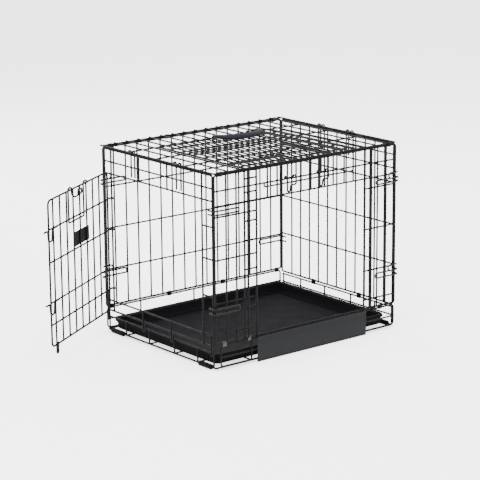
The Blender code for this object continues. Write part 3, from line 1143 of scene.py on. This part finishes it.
@dataclass
class OverheadDoor:
    """The front door, stowed flat under the roof, with the header's catches and rod."""

    shell: Shell
    finishes: Finishes
    span: tuple[float, float] = (-0.176, 0.196)
    front_edge: float = -0.222
    height: float = 0.380
    catch_top: float = 0.451
    catch_foot: float = 0.4350
    catch_tongue: float = 0.4190

    def build(self) -> None:
        """Makes the door, the catches and the rod."""
        x0, x1 = self.span
        y0, y1 = self.front_edge, self.front_edge + self.height
        drop = self.shell.roof - 0.4865

        def stowed(a: float, b: float, out: float = 0.0) -> Vector:
            """A place on the door as it lies under the roof."""
            return self.shell.top(a, b, out - drop)

        rows, cols = wires(pitch(y0, y1, 9)[1:-1], x0, x1), wires(pitch(x0, x1, 11)[1:-1], y0, y1)
        grille = Grille(stowed, rows, cols, (x0, x1, y0, y1), corner=0.012)
        place(grille.lay(WireWork()).bake("overhead_door_wires", self.finishes.wire), "overhead_door",
              body="overhead_door")
        self.catch("left", -0.0722, -0.0438)
        self.catch("right", 0.0342, 0.0632)
        self.rod()

    def catch(self, end: str, x0: float, x1: float) -> None:
        """A loop hung over the header's upper wire, with a tongue at one side of its foot.

        Args:
            end: which catch, "left" or "right".
            x0: its side with the tongue.
            x1: its other side.
        """
        at, top, foot, tongue = self.shell.front, self.catch_top, self.catch_foot, self.catch_tongue
        out, over = 0.0060, 0.0062
        head, bow = top + over, 0.003
        loop = [at(x0, tongue, out), at(x0 + 0.0090, tongue, out), at(x0 + 0.0105, foot, out),
                at(x1, foot, out), at(x1, top, out), at(x1, head, bow), at(x1, head, -bow),
                at(x1, top, -over), at(x0, top, -over), at(x0, head, -bow), at(x0, head, bow),
                at(x0, top, out)]
        work = WireWork()
        work.run(loop, THIN, 0.0040, closed=True)
        name = "door_catch_" + end
        place(work.bake(name + "_loop", self.finishes.bright_wire), name, body=end + "_catch")

    def rod(self) -> None:
        """A thin rod behind the header, turned up at both ends."""
        z, tip, out, x0, x1, at = 0.4395, 0.010, -0.0042, -0.1385, 0.156, self.shell.front
        work = WireWork()
        work.run([at(x0, z + tip, out), at(x0, z, out), at(x1, z, out), at(x1, z + tip, out)], 0.0013, 0.003)
        place(work.bake("lock_bar_rod", self.finishes.bright_wire), "lock_bar")


# ---- End door ----


@dataclass
class EndDoor:
    """The swing door, standing open, and what is on it."""

    shell: Shell
    finishes: Finishes
    open_angle: float = 59.0
    hinge_y: float = Panels.jambs[1]
    out: float = 0.0068
    width: float = 0.3654
    near: float = 0.0122
    rows: tuple[float, ...] = (0.1195, 0.176, 0.278, 0.361)
    low: float = 0.0645
    high: float = 0.4335
    eyes: tuple[float, ...] = (0.1195, 0.278, 0.361)

    def at(self, s: float, z: float, out: float = 0.0) -> Vector:
        """A place on the door.

        Args:
            s: from the hinge jamb towards the free edge.
            z: up.
            out: away from the crate, when the door is closed.

        Returns:
            The place, with the door standing open.
        """
        turn = Matrix.Rotation(radians(-self.open_angle), 3, "Z")
        hinge = self.shell.left(self.hinge_y, 0.0, 0.0)
        return hinge + turn @ Vector((-self.out - out, -s, z))

    def build(self) -> None:
        """Makes the door and its hardware."""
        self.leaf()
        self.bolt("upper", 0.3565)
        self.bolt("lower", 0.1715)
        self.bail()
        self.plate()
        self.spring()

    def leaf(self) -> None:
        """The welded leaf, three of whose rows curl round the jamb as hinge eyes."""
        work = WireWork()
        rows = [Wire(z, self.near, self.width) for z in self.rows if z not in self.eyes]
        eye, climb = 0.0052, 0.0004
        for z in self.eyes:
            ring = [self.at(eye * sin(t), z + climb * abs(t), -self.out + eye * cos(t))
                    for t in (-2 * pi * 0.92 * i / 14 for i in range(15))]
            work.run([self.at(self.width, z), self.at(0.006, z)] + ring, THIN, 0.0)
        uprights = [0.030] + pitch(0.069, 0.343, 8)

        def inside(a: float, b: float, out: float = 0.0) -> Vector:
            """A place on the door, out towards the crate's inside when the door is closed."""
            return self.at(a, b, -out)

        cols = wires(uprights, self.low, self.high)
        grille = Grille(inside, rows, cols, (self.near, self.width, self.low, self.high), corner=0.012)
        grille.lay(work)
        for z in self.eyes:
            for s in uprights:
                work.weld(inside(s, z, 0.0013), THIN * BEAD)
        top, foot, tip, out, turn, near_leg = self.rows[0], 0.0420, 0.0700, 0.0018, 0.0085, 0.0190
        for s, back in ((uprights[-1], uprights[-1] - turn), (near_leg, near_leg + turn)):
            hook = [inside(s, top, out), inside(s, foot, out), inside(back, foot, out),
                    inside(back, tip, out)]
            work.run(hook, THIN, 0.0040)
        place(work.bake("end_door_wires", self.finishes.wire), "end_door", body="end_door")

    def bolt(self, level: str, z: float) -> None:
        """A sliding bolt at the free edge, bent down into a finger loop.

        Args:
            level: which bolt, "upper" or "lower".
            z: the height of its rod.
        """
        out, drop = 0.0054, 0.029
        places = [self.at(0.3810, z, out), self.at(0.3600, z, out), self.at(0.3560, z - drop, out),
                  self.at(0.3360, z - drop, out), self.at(0.3325, z, out), self.at(0.3060, z, out)]
        work = WireWork()
        work.run(places, 0.0020, 0.0065)
        name = "end_door_bolt_" + level
        place(work.bake(name + "_rod", self.finishes.bright_wire), name, body=level + "_bolt")

    def bail(self) -> None:
        """A loop that hangs on the door's top wire by two hooks."""
        top, low, out = self.high, 0.348, 0.0068

        def leg(s: float) -> list[Vector]:
            """One leg, from its hook over the top wire down to the loop's foot."""
            hook = [(top - 0.001, -0.0044), (top + 0.0058, -0.0026), (top + 0.0058, 0.0028), (top, out)]
            return [self.at(s, z, depth) for z, depth in hook] + [self.at(s, low, out)]

        work = WireWork()
        work.run(leg(0.1445) + leg(0.2345)[::-1], 0.0016, 0.0040)
        place(work.bake("end_door_bail_loop", self.finishes.bright_wire), "end_door_bail", body="bail")

    def plate(self) -> None:
        """A blank name plate, a thin moulding with a raised border."""
        outline = rounded_rectangle(0.1307, 0.2248, 0.2841, 0.3215, 0.005, 5)
        inset = rounded_rectangle(0.1342, 0.2213, 0.2876, 0.3180, 0.0035, 5)
        levels = ((outline, -0.0002), (outline, 0.0010), (inset, 0.0010), (inset, 0.0005))
        rings = [[self.at(s, z, out) for s, z in ring] for ring, out in levels]
        place(bevelled(loft("end_door_plate_pressing", rings, self.finishes.foot), 0.0002), "end_door_plate",
              "black_plastic", "end_door")

    def spring(self) -> None:
        """A small wire spring, bent to a U whose free end turns over."""
        shape = ((0.2235, 0.4300), (0.2215, 0.4190), (0.2030, 0.4085), (0.1865, 0.4085), (0.1840, 0.4200),
                 (0.1780, 0.4255), (0.1640, 0.4225), (0.1625, 0.4120), (0.1750, 0.4105))
        work = WireWork()
        work.run([self.at(s, z, 0.0030) for s, z in shape], 0.0013, 0.0030)
        wire = work.bake("end_door_spring_wire", self.finishes.bright_wire)
        place(wire, "end_door_spring", body="end_door")


# ---- Handle, pan and guard ----


@dataclass
class CarryHandle:
    """A moulded D that lies forward on the roof, held by two wire eyes."""

    shell: Shell
    finishes: Finishes
    span: tuple[float, float] = (-0.024, 0.092)
    axis_y: float = Panels.handle_y
    reach: float = 0.072
    half: float = 0.072

    def build(self) -> None:
        """Makes the grip, and the two wire eyes as a second piece."""
        x0, x1 = self.span
        middle, lie = (x0 + x1) / 2, 0.0110
        steps, sides = 40, 20
        path = []
        for i in range(steps + 1):
            t = pi * i / steps
            path.append(self.shell.top(middle - self.half * cos(t),
                                       self.axis_y - 0.018 - (self.reach - 0.018) * sin(t) ** 0.8, lie))
        rings = []
        for i, p in enumerate(path):
            ahead, behind = path[min(i + 1, steps)], path[max(i - 1, 0)]
            along = (ahead - behind).normalized()
            flat = Vector((0, 0, 1)).cross(along)
            belly = sin(pi * i / steps) ** 0.6
            end = min(1.0, 0.45 + 2.2 * min(i, steps - i) / steps * 3)
            wide, tall = (0.0050 + 0.0042 * belly) * end, (0.0048 + 0.0024 * belly) * end
            rings.append([p + flat * wide * cos(a) + Vector((0, 0, 1)) * tall * sin(a)
                          for a in (2 * pi * k / sides for k in range(sides))])
        grip = loft("carry_handle_grip", rings, self.finishes.grip)
        place(grip, "carry_handle", "grey_plastic", "handle")
        work = WireWork()
        for x, end in ((x0, path[1]), (x1, path[-2])):
            eye = curl(self.shell.top(x, self.axis_y), Vector((0, -1, 0)), Vector((0, 0, 1)), 0.0044, 0.19,
                       -0.93)
            shank = [end + Vector((0, -0.006, 0)), self.shell.top(x, self.axis_y - 0.011, lie - 0.001)]
            work.run(shank + eye, 0.0016, 0.0)
        eyes = work.bake("carry_handle_eyes", self.finishes.bright_wire)
        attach(eyes, "handle")


@dataclass
class FloorPan:
    """A moulded tray with a flanged, ribbed rim and a low pattern on its floor."""

    shell: Shell
    finishes: Finishes
    low: float = 0.0062
    high: float = 0.0330
    ends: tuple[float, float] = (-0.2860, 0.2780)
    half_y: float = 0.2160
    rim: float = 0.0060
    wall: float = 0.0025

    def ring(self, grow: float, z: float) -> list[Vector]:
        """The tray's outline, grown sideways, at a height.

        Args:
            grow: how far outside the tray's wall it runs, negative for inside.
            z: its height above the feet.

        Returns:
            Points round the outline.
        """
        outline = rounded_rectangle(self.ends[0] - grow, self.ends[1] + grow, -self.half_y - grow,
                                    self.half_y + grow, max(0.018 + grow, 0.004), 6)
        return [Vector((self.shell.middle + x, y, z + self.shell.lift)) for x, y in outline]

    def build(self) -> None:
        """Makes the tray and its ribs."""
        low, high, wall, rim = self.low, self.high, self.wall, self.rim
        section = [(-0.012, low), (-0.004, low), (-0.001, low + 0.003), (0.0, high - 0.0075),
                   (rim - 0.0015, high - 0.0070), (rim, high - 0.0055), (rim, high - 0.0022),
                   (rim - 0.0022, high), (-0.0050, high), (-0.0070, high - 0.0014), (-0.0078, high - 0.0045),
                   (-0.0085, low + 0.0075), (-0.0105, low + 0.0045), (-0.0145, low + wall + 0.0012),
                   (-0.0340, low + wall + 0.0012), (-0.0365, low + wall)]
        tray = loft("floor_pan_tray", [self.ring(grow, z) for grow, z in section], self.finishes.pan)
        place(tray, "floor_pan", "black_plastic", "pan")
        border, edge = self.ring(-0.0245, low + wall + 0.0014), self.ring(rim - 0.0004, high - 0.0040)
        self.ribs("floor_pan_border_ribs", border, 0.0065, (0.0028, 0.0150, 0.0014))
        self.ribs("floor_pan_rim_ribs", edge, 0.0130, (0.0024, 0.0010, 0.0024))

    def ribs(self, name: str, ring: list[Vector], spacing: float, size: tuple[float, float, float]) -> None:
        """Fine ribs that follow a ring.

        Args:
            name: the piece's name.
            ring: the points that they follow.
            spacing: from one rib to the next.
            size: a rib's length along the ring, across it and upwards.
        """
        mesh = bpy.data.meshes.new(name + "_line")
        mesh.from_pydata(ring, [(i, (i + 1) % len(ring)) for i in range(len(ring))], [])
        piece = bake_nodes(name, mesh, Tree.RIBS,
                           {"Spacing": spacing, "Rib Size": size, "Material": self.finishes.pan})
        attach(piece, "pan")


@dataclass
class PawGuard:
    """A thin sheet across the foot of the doorway, rolled at the top and hemmed at the foot."""

    shell: Shell
    finishes: Finishes
    span: tuple[float, float] = (-0.172, 0.195)
    low: float = -0.0035
    high: float = 0.0600
    out: float = 0.0056

    def build(self) -> None:
        """Makes the sheet."""
        roll, gauge = 0.0016, 0.0008
        face = [(self.out + 0.0004, self.low), (self.out, self.low + 0.0015), (self.out, self.low + 0.010),
                (self.out + 0.0005, self.low + 0.0115), (self.out + 0.0005, self.high - 0.012),
                (self.out, self.high - 0.0105), (self.out, self.high - 0.002)]
        rolled = [(self.out + roll * (1 - cos(a)), self.high + roll * sin(a))
                  for a in (2 * pi * 0.78 * i / 12 for i in range(13))]
        line = face + rolled
        outer = []
        for i, (out, z) in enumerate(line):
            before, after = line[max(i - 1, 0)], line[min(i + 1, len(line) - 1)]
            turn = atan2(after[1] - before[1], after[0] - before[0])
            outer.append((out + gauge * sin(turn), z - gauge * cos(turn)))
        section = line + outer[::-1]
        x0, x1 = self.span
        rings = [[self.shell.front(x, z, out) for out, z in section] for x in pitch(x0, x1, 9)]
        place(loft("paw_guard_sheet", rings, self.finishes.sheet), "paw_guard", "painted_sheet", "paw_guard")


# ---- Clips, hooks and latches ----


@dataclass
class Fastenings:
    """Crimped clips, spring hooks and corner latches."""

    shell: Shell
    finishes: Finishes

    def build(self) -> None:
        """Makes every fastening."""
        self.clips()
        self.hooks()
        self.latches()

    def clip(self, name: str, side: Side, along: float, low: float, high: float,
             painted_highlight: bool = False) -> None:
        """A strip of steel wrapped round two wires.

        Args:
            name: the clip's CAD node.
            side: gives a place from along, up and out.
            along: its middle along the wires.
            low: height of the lower wire.
            high: height of the upper wire.
            painted_highlight: whether it gets the lighter grey metal, a painted highlight, and not the black
                coat.
        """
        half = 0.0065 if name == "base_clip_front_1" else 0.0050
        radius, gauge, steps = THICK + 0.0005, 0.0009, 8
        loop = []
        for first, wire in ((0.0, high), (pi, low)):
            for i in range(steps + 1):
                angle = first + pi * i / steps
                loop.append((radius * cos(angle), wire + radius * sin(angle), cos(angle), sin(angle)))
        rings = []
        for out, z, u, v in loop:
            rings.append([side(along - half, z, out), side(along + half, z, out),
                          side(along + half, z + gauge * v, out + gauge * u),
                          side(along - half, z + gauge * v, out + gauge * u)])
        material = self.finishes.highlight_clip if painted_highlight else self.finishes.wire
        strip = loft(name + "_strip", rings, material, closed=True)
        place(bevelled(strip, 0.00025), name, "zinc_clip" if painted_highlight else "black_wire",
              "right_end" if "_right_" in name else "crate")

    def clips(self) -> None:
        """The clips that join the panels to the base and the roof."""
        shell = self.shell
        roof, top = shell.roof, shell.roof - UNDER_ROOF
        curb, side_bottom, end_bottom = Base.side_curb, Panels.side_bottom, Panels.end_bottom
        groups = (("roof_clip_back", shell.back, (-0.2765, -0.093, 0.091, 0.2765), top, roof),
                  ("roof_clip_front", shell.front, (-0.2810, 0.2765), top, roof),
                  ("base_clip_back", shell.back, (-0.2850, -0.093, 0.091, 0.2850), curb, side_bottom),
                  ("base_clip_front", shell.front, (-0.2738, -0.1950, 0.2250, 0.2500), curb, side_bottom),
                  ("base_clip_right", shell.right, (-0.0955, 0.0920), Base.right_curb, end_bottom))
        for name, side, places, low, high in groups:
            for i, along in enumerate(places):
                # the two front curb clips left of the middle are drawn lighter grey, a painted highlight
                painted_highlight = name == "base_clip_front" and along < 0
                self.clip("%s_%d" % (name, i + 1), side, along, low, high, painted_highlight)

    def hooks(self) -> None:
        """Spring hooks that hold the end panels' heads to the roof frame."""
        over, foot = self.shell.roof + 0.0056, 0.430
        for name, side, a0, a1, leg, tip in (
                ("left_hook_front", self.shell.left, -0.095, -0.076, -0.0050, 0.0046),
                ("left_hook_back", self.shell.left, 0.099, 0.1145, -0.0050, 0.0046),
                ("right_hook_front", self.shell.right, -0.062, -0.044, 0.0062, -0.0046),
                ("right_hook_back", self.shell.right, 0.054, 0.070, 0.0062, -0.0046)):
            places = [side(a0, foot, leg), side(a0, over - 0.002, leg), side(a0, over, 0.0),
                      side(a0, over - 0.003, tip), side(a1, over - 0.003, tip), side(a1, over, 0.0),
                      side(a1, over - 0.002, leg), side(a1, foot, leg)]
            work = WireWork()
            work.run(places, 0.0014, 0.0025)
            place(work.bake(name + "_wire", self.finishes.bright_wire), name)

    def latches(self) -> None:
        """Long sliding loops that wrap each corner."""
        for side_name, side in (("front", self.shell.front), ("back", self.shell.back)):
            for end_name, end in (("left", -1), ("right", 1)):
                for level, high, low in (("upper", 0.4035, 0.3935), ("lower", 0.1560, 0.1430)):
                    where = "%s_%s_%s" % (side_name, end_name, level)
                    loop = self.latch(side, end, high, low)
                    place(loop.bake("latch_" + where + "_loop", self.finishes.bright_wire), "latch_" + where,
                          body=where + "_latch")

    def latch(self, side: Side, end: int, high: float, low: float) -> WireWork:
        """One latch: a long U on the face, whose ends go round the corner, some with a turned-back end.

        Args:
            side: the long face's places.
            end: -1 for the left corner, 1 for the right one.
            high: height of its upper leg.
            low: height of its lower leg.

        Returns:
            The latch's wires.
        """
        out, corner, inner, wrap = 0.0066, self.shell.half_l + 0.0058, 0.228, 0.016
        far, near = end * corner, end * inner
        work = WireWork()
        work.run([side(far, high, -wrap), side(far, high, out), side(near, high, out), side(near, low, out),
                  side(far, low, out), side(far, low, -wrap)], 0.0016, 0.0042)
        if (side == self.shell.front) == (end > 0):
            start, tip, top = end * (corner - 0.0340), end * (corner - 0.0040), high + 0.0145
            turned = [side(tip, top, out), side(start, top, out), side(start, high, out),
                      side(tip, high, out)]
            work.run(turned, 0.0016, 0.0066)
        return work


# ---- Studio ----


@dataclass
class Studio:
    """A pale floor, soft light, and a camera that looks down on the front left corner."""

    shell: Shell
    azimuth: float = 38.78
    elevation: float = 14.056
    roll: float = -0.488
    station: tuple[float, float, float] = (-3.2076, -3.9508, 1.5128)
    lens: float = 150.06

    def build(self) -> None:
        """Makes the floor, the lights, the world and the camera."""
        self.floor()
        self.lights()
        self.camera()

    def floor(self) -> None:
        """A wide pale floor."""
        bm = bmesh.new()
        bmesh.ops.create_grid(bm, x_segments=1, y_segments=1, size=30.0)
        graph = MaterialGraph("studio_floor", 0.9, 0.0)
        graph.shader.inputs["Base Color"].default_value = (0.93, 0.93, 0.93, 1.0)
        graph.shader.inputs["Emission Color"].default_value = (1.0, 1.0, 1.0, 1.0)
        seen = graph.tree.nodes.new("ShaderNodeLightPath").outputs["Is Camera Ray"]
        graph.feed("Emission Strength", self.brighter(graph.tree, seen, 0.6, 1.3))
        ob = mesh_piece("studio_floor", bm, graph.material)

    def lights(self) -> None:
        """A white world and three large soft lights."""
        world = bpy.data.worlds.new("studio")
        world.use_nodes = True
        background = world.node_tree.nodes["Background"]
        background.inputs["Color"].default_value = (1.0, 1.0, 1.0, 1.0)
        seen = world.node_tree.nodes.new("ShaderNodeLightPath").outputs["Is Camera Ray"]
        strength = self.brighter(world.node_tree, seen, 1.6, 0.4)
        world.node_tree.links.new(strength, background.inputs["Strength"])
        bpy.context.scene.world = world
        for name, energy, size, position in (("key", 220.0, 2.4, (-1.6, -1.2, 3.4)),
                                             ("fill", 90.0, 3.0, (2.6, -1.0, 2.0)),
                                             ("rear", 90.0, 2.0, (0.5, 2.6, 2.2))):
            data = bpy.data.lights.new(name, "AREA")
            data.energy = energy
            data.size = size
            lamp = bpy.data.objects.new(name, data)
            lamp.location = position
            aim = Vector((self.shell.middle, 0.0, 0.25)) - Vector(position)
            lamp.rotation_euler = aim.to_track_quat("-Z", "Y").to_euler()
            bpy.context.scene.collection.objects.link(lamp)

    @staticmethod
    def brighter(tree: bpy.types.NodeTree, seen: bpy.types.NodeSocket, base: float,
                 extra: float) -> bpy.types.NodeSocket:
        """A light's strength, with more where the camera sees it directly, so the backdrop is white.

        Args:
            tree: the tree that it goes in.
            seen: 1 where the camera sees the surface directly, else 0.
            base: the strength that lights the crate.
            extra: what the camera sees on top of it.

        Returns:
            The strength's socket.
        """
        node = tree.nodes.new("ShaderNodeMath")
        node.operation = "MULTIPLY_ADD"
        tree.links.new(seen, node.inputs[0])
        node.inputs[1].default_value = extra
        node.inputs[2].default_value = base
        return node.outputs["Value"]

    def camera(self) -> None:
        """The camera, from its azimuth, elevation and roll."""
        az, el, roll = (radians(v) for v in (self.azimuth, self.elevation, self.roll))
        forward = Vector((sin(az) * cos(el), cos(az) * cos(el), -sin(el)))
        right = Vector((cos(az), -sin(az), 0.0))
        up = right.cross(forward)
        right, up = cos(roll) * right + sin(roll) * up, cos(roll) * up - sin(roll) * right
        data = bpy.data.cameras.new("camera")
        data.lens = self.lens
        data.sensor_width = 36.0
        data.clip_end = 100.0
        ob = bpy.data.objects.new("camera", data)
        turn = Matrix((right, up, -forward)).transposed()
        crate = Vector((self.shell.middle, 0, self.shell.lift))
        ob.matrix_world = Matrix.Translation(Vector(self.station) + crate) @ turn.to_4x4()
        bpy.context.scene.collection.objects.link(ob)
        bpy.context.scene.camera = ob


def main() -> None:
    """Builds the crate's looks and the studio round it."""
    logging.basicConfig(level=logging.INFO, format="%(name)s: %(message)s")
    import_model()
    shell = Shell.from_frame()
    finishes = Finishes()
    for part in (Base, Panels, OverheadDoor, EndDoor, CarryHandle, FloorPan, PawGuard, Fastenings):
        part(shell, finishes).build()
    Studio(shell).build()


if __name__ == "__main__":
    main()
